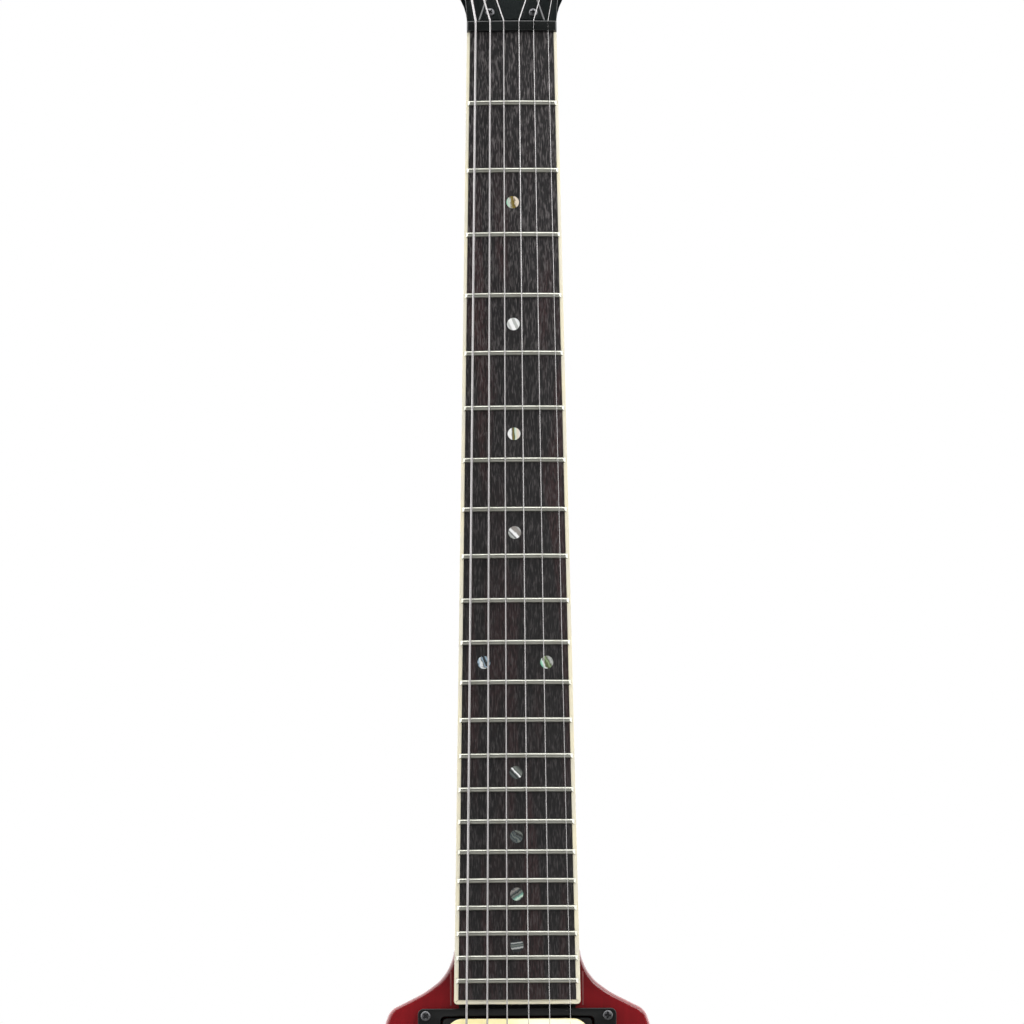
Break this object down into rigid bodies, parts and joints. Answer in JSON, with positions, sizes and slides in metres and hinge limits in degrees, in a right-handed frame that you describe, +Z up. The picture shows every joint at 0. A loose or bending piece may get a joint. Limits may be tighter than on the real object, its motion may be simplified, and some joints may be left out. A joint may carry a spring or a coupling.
{
  "type": "v-shaped electric guitar",
  "caption": "Electric guitar with a v-shaped solid red body, set neck, bound fretted fingerboard, forked headstock, pickups, adjustable bridge and strings through the body.",
  "frame": {"origin": "centre of the guitar's box, at the height of the wing tips", "axes": "+Z up the neck, -Y out of the front, the low E string at -X"},
  "size_m": [0.417, 0.106, 1.0983],
  "materials": {
    "binding_cream": "polished",
    "red_lacquer": "glossy lacquer",
    "nickel": "polished",
    "cream_plastic": "polished",
    "black_plastic": "polished",
    "fingerboard_wood": "oiled",
    "headstock_black": "polished",
    "neck_wood": "glossy lacquer",
    "nut_black": "satin",
    "plain_steel": "plain",
    "brass": "satin",
    "string_steel": "bright",
    "wound_nickel": "wound"
  },
  "bodies": {
    "tuner_key_1": {"tuner_key_1": "nickel"},
    "tuner_post_1": {"tuner_post_1": "nickel"},
    "tuner_key_2": {"tuner_key_2": "nickel"},
    "tuner_post_2": {"tuner_post_2": "nickel"},
    "tuner_key_3": {"tuner_key_3": "nickel"},
    "tuner_post_3": {"tuner_post_3": "nickel"},
    "tuner_key_4": {"tuner_key_4": "nickel"},
    "tuner_post_4": {"tuner_post_4": "nickel"},
    "tuner_key_5": {"tuner_key_5": "nickel"},
    "tuner_post_5": {"tuner_post_5": "nickel"},
    "tuner_key_6": {"tuner_key_6": "nickel"},
    "tuner_post_6": {"tuner_post_6": "nickel"},
    "bridge": {"bridge": "nickel"},
    "bridge_post_bass": {"bridge_post_bass": "nickel"},
    "bridge_post_treble": {"bridge_post_treble": "nickel"},
    "saddle_1": {"saddle_1": "brass"},
    "saddle_2": {"saddle_2": "brass"},
    "saddle_3": {"saddle_3": "brass"},
    "saddle_4": {"saddle_4": "brass"},
    "saddle_5": {"saddle_5": "brass"},
    "saddle_6": {"saddle_6": "brass"},
    "neck_pickup": {"neck_pickup": "cream_plastic"},
    "bridge_pickup": {"bridge_pickup": "cream_plastic"},
    "volume_knob_neck": {"volume_knob_neck": "black_plastic"},
    "volume_knob_bridge": {"volume_knob_bridge": "black_plastic"},
    "tone_knob": {"tone_knob": "black_plastic"},
    "switch_lever": {"switch_lever": "cream_plastic"},
    "truss_rod_nut": {"truss_rod_nut": "brass"},
    "root": {"binding": "binding_cream", "body": "red_lacquer", "bridge_pickup_ring": "black_plastic", "control_cover": "black_plastic", "ferrule_block": "nickel", "fingerboard": "fingerboard_wood", "head_plate": "headstock_black", "neck": "neck_wood", "neck_pickup_ring": "black_plastic", "nut": "nut_black", "output_jack": "nickel", "potentiometer_1": "plain_steel", "potentiometer_2": "plain_steel", "potentiometer_3": "plain_steel", "strap_button_heel": "nickel", "strap_button_wing": "nickel", "string_1": "string_steel", "string_2": "string_steel", "string_3": "string_steel", "string_4": "wound_nickel", "string_5": "wound_nickel", "string_6": "wound_nickel", "string_plate": "nickel", "switch_frame": "plain_steel", "truss_rod": "plain_steel", "truss_rod_cover": "black_plastic", "tuner_housing_1": "nickel", "tuner_housing_2": "nickel", "tuner_housing_3": "nickel", "tuner_housing_4": "nickel", "tuner_housing_5": "nickel", "tuner_housing_6": "nickel"}
  },
  "joints": [
    {"name": "tuner_key_1_turn", "type": "hinge", "parent": "root", "child": "tuner_key_1", "pos_m": [0.03034, 0.02118, 0.97283], "axis": [0.9806, 0.0573, 0.1874], "continuous": true, "deforming": ["string_1"]},
    {"name": "tuner_post_1_turn", "type": "hinge", "parent": "root", "child": "tuner_post_1", "pos_m": [0.02933, 0.01788, 0.97914], "axis": [0, 0.9563, -0.2924], "continuous": true},
    {"name": "tuner_key_2_turn", "type": "hinge", "parent": "root", "child": "tuner_key_2", "pos_m": [0.03724, 0.0317, 1.00726], "axis": [0.9806, 0.0573, 0.1874], "continuous": true, "deforming": ["string_2"]},
    {"name": "tuner_post_2_turn", "type": "hinge", "parent": "root", "child": "tuner_post_2", "pos_m": [0.03623, 0.0284, 1.01356], "axis": [0, 0.9563, -0.2924], "continuous": true},
    {"name": "tuner_key_3_turn", "type": "hinge", "parent": "root", "child": "tuner_key_3", "pos_m": [0.04424, 0.04223, 1.04168], "axis": [0.9806, 0.0573, 0.1874], "continuous": true, "deforming": ["string_3"]},
    {"name": "tuner_post_3_turn", "type": "hinge", "parent": "root", "child": "tuner_post_3", "pos_m": [0.04323, 0.03893, 1.04799], "axis": [0, 0.9563, -0.2924], "continuous": true},
    {"name": "tuner_key_4_turn", "type": "hinge", "parent": "root", "child": "tuner_key_4", "pos_m": [-0.04278, 0.04223, 1.04168], "axis": [-0.9806, 0.0573, 0.1874], "continuous": true, "deforming": ["string_4"]},
    {"name": "tuner_post_4_turn", "type": "hinge", "parent": "root", "child": "tuner_post_4", "pos_m": [-0.04177, 0.03893, 1.04799], "axis": [0, 0.9563, -0.2924], "continuous": true},
    {"name": "tuner_key_5_turn", "type": "hinge", "parent": "root", "child": "tuner_key_5", "pos_m": [-0.03578, 0.0317, 1.00726], "axis": [-0.9806, 0.0573, 0.1874], "continuous": true, "deforming": ["string_5"]},
    {"name": "tuner_post_5_turn", "type": "hinge", "parent": "root", "child": "tuner_post_5", "pos_m": [-0.03477, 0.0284, 1.01356], "axis": [0, 0.9563, -0.2924], "continuous": true},
    {"name": "tuner_key_6_turn", "type": "hinge", "parent": "root", "child": "tuner_key_6", "pos_m": [-0.02889, 0.02118, 0.97283], "axis": [-0.9806, 0.0573, 0.1874], "continuous": true, "deforming": ["string_6"]},
    {"name": "tuner_post_6_turn", "type": "hinge", "parent": "root", "child": "tuner_post_6", "pos_m": [-0.02787, 0.01788, 0.97914], "axis": [0, 0.9563, -0.2924], "continuous": true},
    {"name": "bridge_slide", "type": "slide", "parent": "root", "child": "bridge", "axis": [0, 1, 0], "range_m": [0, 0.003]},
    {"name": "bridge_post_bass_turn", "type": "hinge", "parent": "bridge", "child": "bridge_post_bass", "pos_m": [-0.03627, -0.03135, 0.30493], "axis": [0, 1, 0], "range_deg": [0, 1080]},
    {"name": "bridge_post_treble_turn", "type": "hinge", "parent": "bridge", "child": "bridge_post_treble", "pos_m": [0.03773, -0.03135, 0.30493], "axis": [0, 1, 0], "range_deg": [0, 1080]},
    {"name": "saddle_1_slide", "type": "slide", "parent": "bridge", "child": "saddle_1", "axis": [0, 0, 1], "range_m": [-0.00335, 0.00105]},
    {"name": "saddle_2_slide", "type": "slide", "parent": "bridge", "child": "saddle_2", "axis": [0, 0, 1], "range_m": [-0.00269, 0.00171]},
    {"name": "saddle_3_slide", "type": "slide", "parent": "bridge", "child": "saddle_3", "axis": [0, 0, 1], "range_m": [-0.00191, 0.00249]},
    {"name": "saddle_4_slide", "type": "slide", "parent": "bridge", "child": "saddle_4", "axis": [0, 0, 1], "range_m": [-0.00261, 0.00179]},
    {"name": "saddle_5_slide", "type": "slide", "parent": "bridge", "child": "saddle_5", "axis": [0, 0, 1], "range_m": [-0.0018, 0.0026]},
    {"name": "saddle_6_slide", "type": "slide", "parent": "bridge", "child": "saddle_6", "axis": [0, 0, 1], "range_m": [-0.00107, 0.00333]},
    {"name": "neck_pickup_slide", "type": "slide", "parent": "root", "child": "neck_pickup", "axis": [0, 1, 0], "range_m": [-0.002, 0.003]},
    {"name": "bridge_pickup_slide", "type": "slide", "parent": "root", "child": "bridge_pickup", "axis": [0, 1, 0], "range_m": [-0.002, 0.003]},
    {"name": "volume_knob_neck_turn", "type": "hinge", "parent": "root", "child": "volume_knob_neck", "pos_m": [0.08869, -0.03135, 0.23493], "axis": [0, 1, 0], "range_deg": [-300, 0]},
    {"name": "volume_knob_bridge_turn", "type": "hinge", "parent": "root", "child": "volume_knob_bridge", "pos_m": [0.10485, -0.03135, 0.18994], "axis": [0, 1, 0], "range_deg": [-300, 0]},
    {"name": "tone_knob_turn", "type": "hinge", "parent": "root", "child": "tone_knob", "pos_m": [0.12102, -0.03135, 0.14496], "axis": [0, 1, 0], "range_deg": [-300, 0]},
    {"name": "switch_lever_tilt", "type": "hinge", "parent": "root", "child": "switch_lever", "pos_m": [0.13719, -0.02735, 0.09998], "axis": [0.9411, 0, 0.3382], "range_deg": [-12, 12]},
    {"name": "truss_rod_nut_turn", "type": "hinge", "parent": "root", "child": "truss_rod_nut", "pos_m": [0.00073, -0.00336, 0.93908], "axis": [0, 0.0523, 0.9986], "range_deg": [-180, 180]}
  ],
  "couplings": [
    {"joint": "tuner_post_1_turn", "follows": "tuner_key_1_turn", "ratio": -0.071429},
    {"joint": "tuner_post_2_turn", "follows": "tuner_key_2_turn", "ratio": -0.071429},
    {"joint": "tuner_post_3_turn", "follows": "tuner_key_3_turn", "ratio": -0.071429},
    {"joint": "tuner_post_4_turn", "follows": "tuner_key_4_turn", "ratio": -0.071429},
    {"joint": "tuner_post_5_turn", "follows": "tuner_key_5_turn", "ratio": -0.071429},
    {"joint": "tuner_post_6_turn", "follows": "tuner_key_6_turn", "ratio": -0.071429},
    {"joint": "bridge_post_bass_turn", "follows": "bridge_slide", "rad_per_m": 6283.2},
    {"joint": "bridge_post_treble_turn", "follows": "bridge_slide", "rad_per_m": 6283.2}
  ]
}
